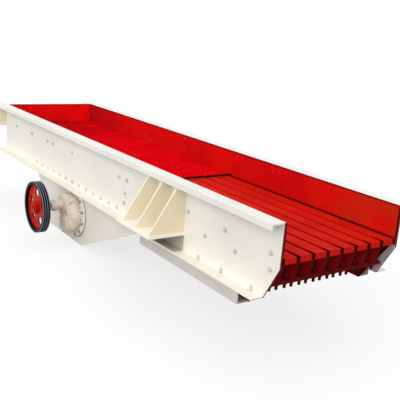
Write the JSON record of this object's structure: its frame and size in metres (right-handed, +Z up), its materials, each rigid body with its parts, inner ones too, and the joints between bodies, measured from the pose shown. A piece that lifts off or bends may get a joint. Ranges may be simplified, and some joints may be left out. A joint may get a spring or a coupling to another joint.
{
  "type": "vibrating grizzly feeder",
  "caption": "Vibrating feeder: long open trough with a solid pan, tapered grizzly bars at the discharge end, spring seats on its sides and a belt-driven twin-shaft exciter underneath.",
  "frame": {"origin": "on the centre plane, midway between the centre holes of the two front spring seats, on the underside of those seats", "axes": "+X along the trough to the discharge end, +Y to the left side, +Z up; the belt pulley is on the right, at -Y"},
  "size_m": [6.3, 2.2255, 1.315],
  "materials": {
    "cream_paint": "semi-gloss cream paint",
    "red_paint": "semi-gloss red paint",
    "red_bolts": "painted over in red",
    "cream_bolts": "painted over in cream",
    "housing_paint": "painted casting, grey beige",
    "pulley_paint": "casting, red web and dark bare rim",
    "machined_steel": "turned and oiled"
  },
  "bodies": {
    "trough": {"bar_bolts": "red_bolts", "bar_nuts": "red_bolts", "bearing_outer_rings": "machined_steel", "blind_covers": "housing_paint", "drive_shaft_cover": "housing_paint", "exciter_housing_left": "housing_paint", "exciter_housing_right": "housing_paint", "exciter_plate_bolts": "cream_bolts", "exciter_plate_left": "cream_paint", "exciter_plate_right": "cream_paint", "exciter_tube": "cream_paint", "floor_liner": "red_paint", "floor_pan": "cream_paint", "front_seat_left": "cream_paint", "front_seat_ribs_left": "cream_paint", "front_seat_ribs_right": "cream_paint", "front_seat_right": "cream_paint", "front_side_liner_left": "red_paint", "front_side_liner_right": "red_paint", "grizzly_bar_1": "red_paint", "grizzly_bar_2": "red_paint", "grizzly_bar_3": "red_paint", "grizzly_bar_4": "red_paint", "grizzly_bar_5": "red_paint", "grizzly_bar_6": "red_paint", "grizzly_bar_7": "red_paint", "grizzly_bar_8": "red_paint", "grizzly_cheek_left": "red_paint", "grizzly_cheek_right": "red_paint", "grizzly_front_beam": "red_paint", "grizzly_middle_beam": "red_paint", "grizzly_rear_beam": "red_paint", "housing_bolts": "cream_bolts", "lower_rail_left": "cream_paint", "lower_rail_right": "cream_paint", "pan_beam_1": "cream_paint", "pan_beam_2": "cream_paint", "pan_beam_3": "cream_paint", "pan_beam_4": "cream_paint", "pan_beam_5": "cream_paint", "rear_plate": "cream_paint", "rear_seat_left": "cream_paint", "rear_seat_ribs_left": "cream_paint", "rear_seat_ribs_right": "cream_paint", "rear_seat_right": "cream_paint", "rear_side_liner_left": "red_paint", "rear_side_liner_right": "red_paint", "rear_wall_liner": "red_paint", "side_plate_left": "cream_paint", "side_plate_right": "cream_paint"},
    "drive_rotor": {"drive_shaft": "machined_steel", "drive_gear": "machined_steel", "drive_bearing_inners": "machined_steel", "belt_pulley": "pulley_paint", "pulley_key": "machined_steel", "pulley_end_plate": "pulley_paint"},
    "driven_rotor": {"driven_shaft": "machined_steel", "driven_gear": "machined_steel", "driven_bearing_inners": "machined_steel"}
  },
  "joints": [
    {"name": "drive_spin", "type": "hinge", "parent": "trough", "child": "drive_rotor", "pos_m": [-2.08831, 0, -0.35275], "axis": [0, 1, 0], "continuous": true},
    {"name": "driven_spin", "type": "hinge", "parent": "trough", "child": "driven_rotor", "pos_m": [-2.01169, 0, -0.56325], "axis": [0, 1, 0], "continuous": true}
  ],
  "couplings": [
    {"joint": "driven_spin", "follows": "drive_spin", "ratio": -1}
  ]
}
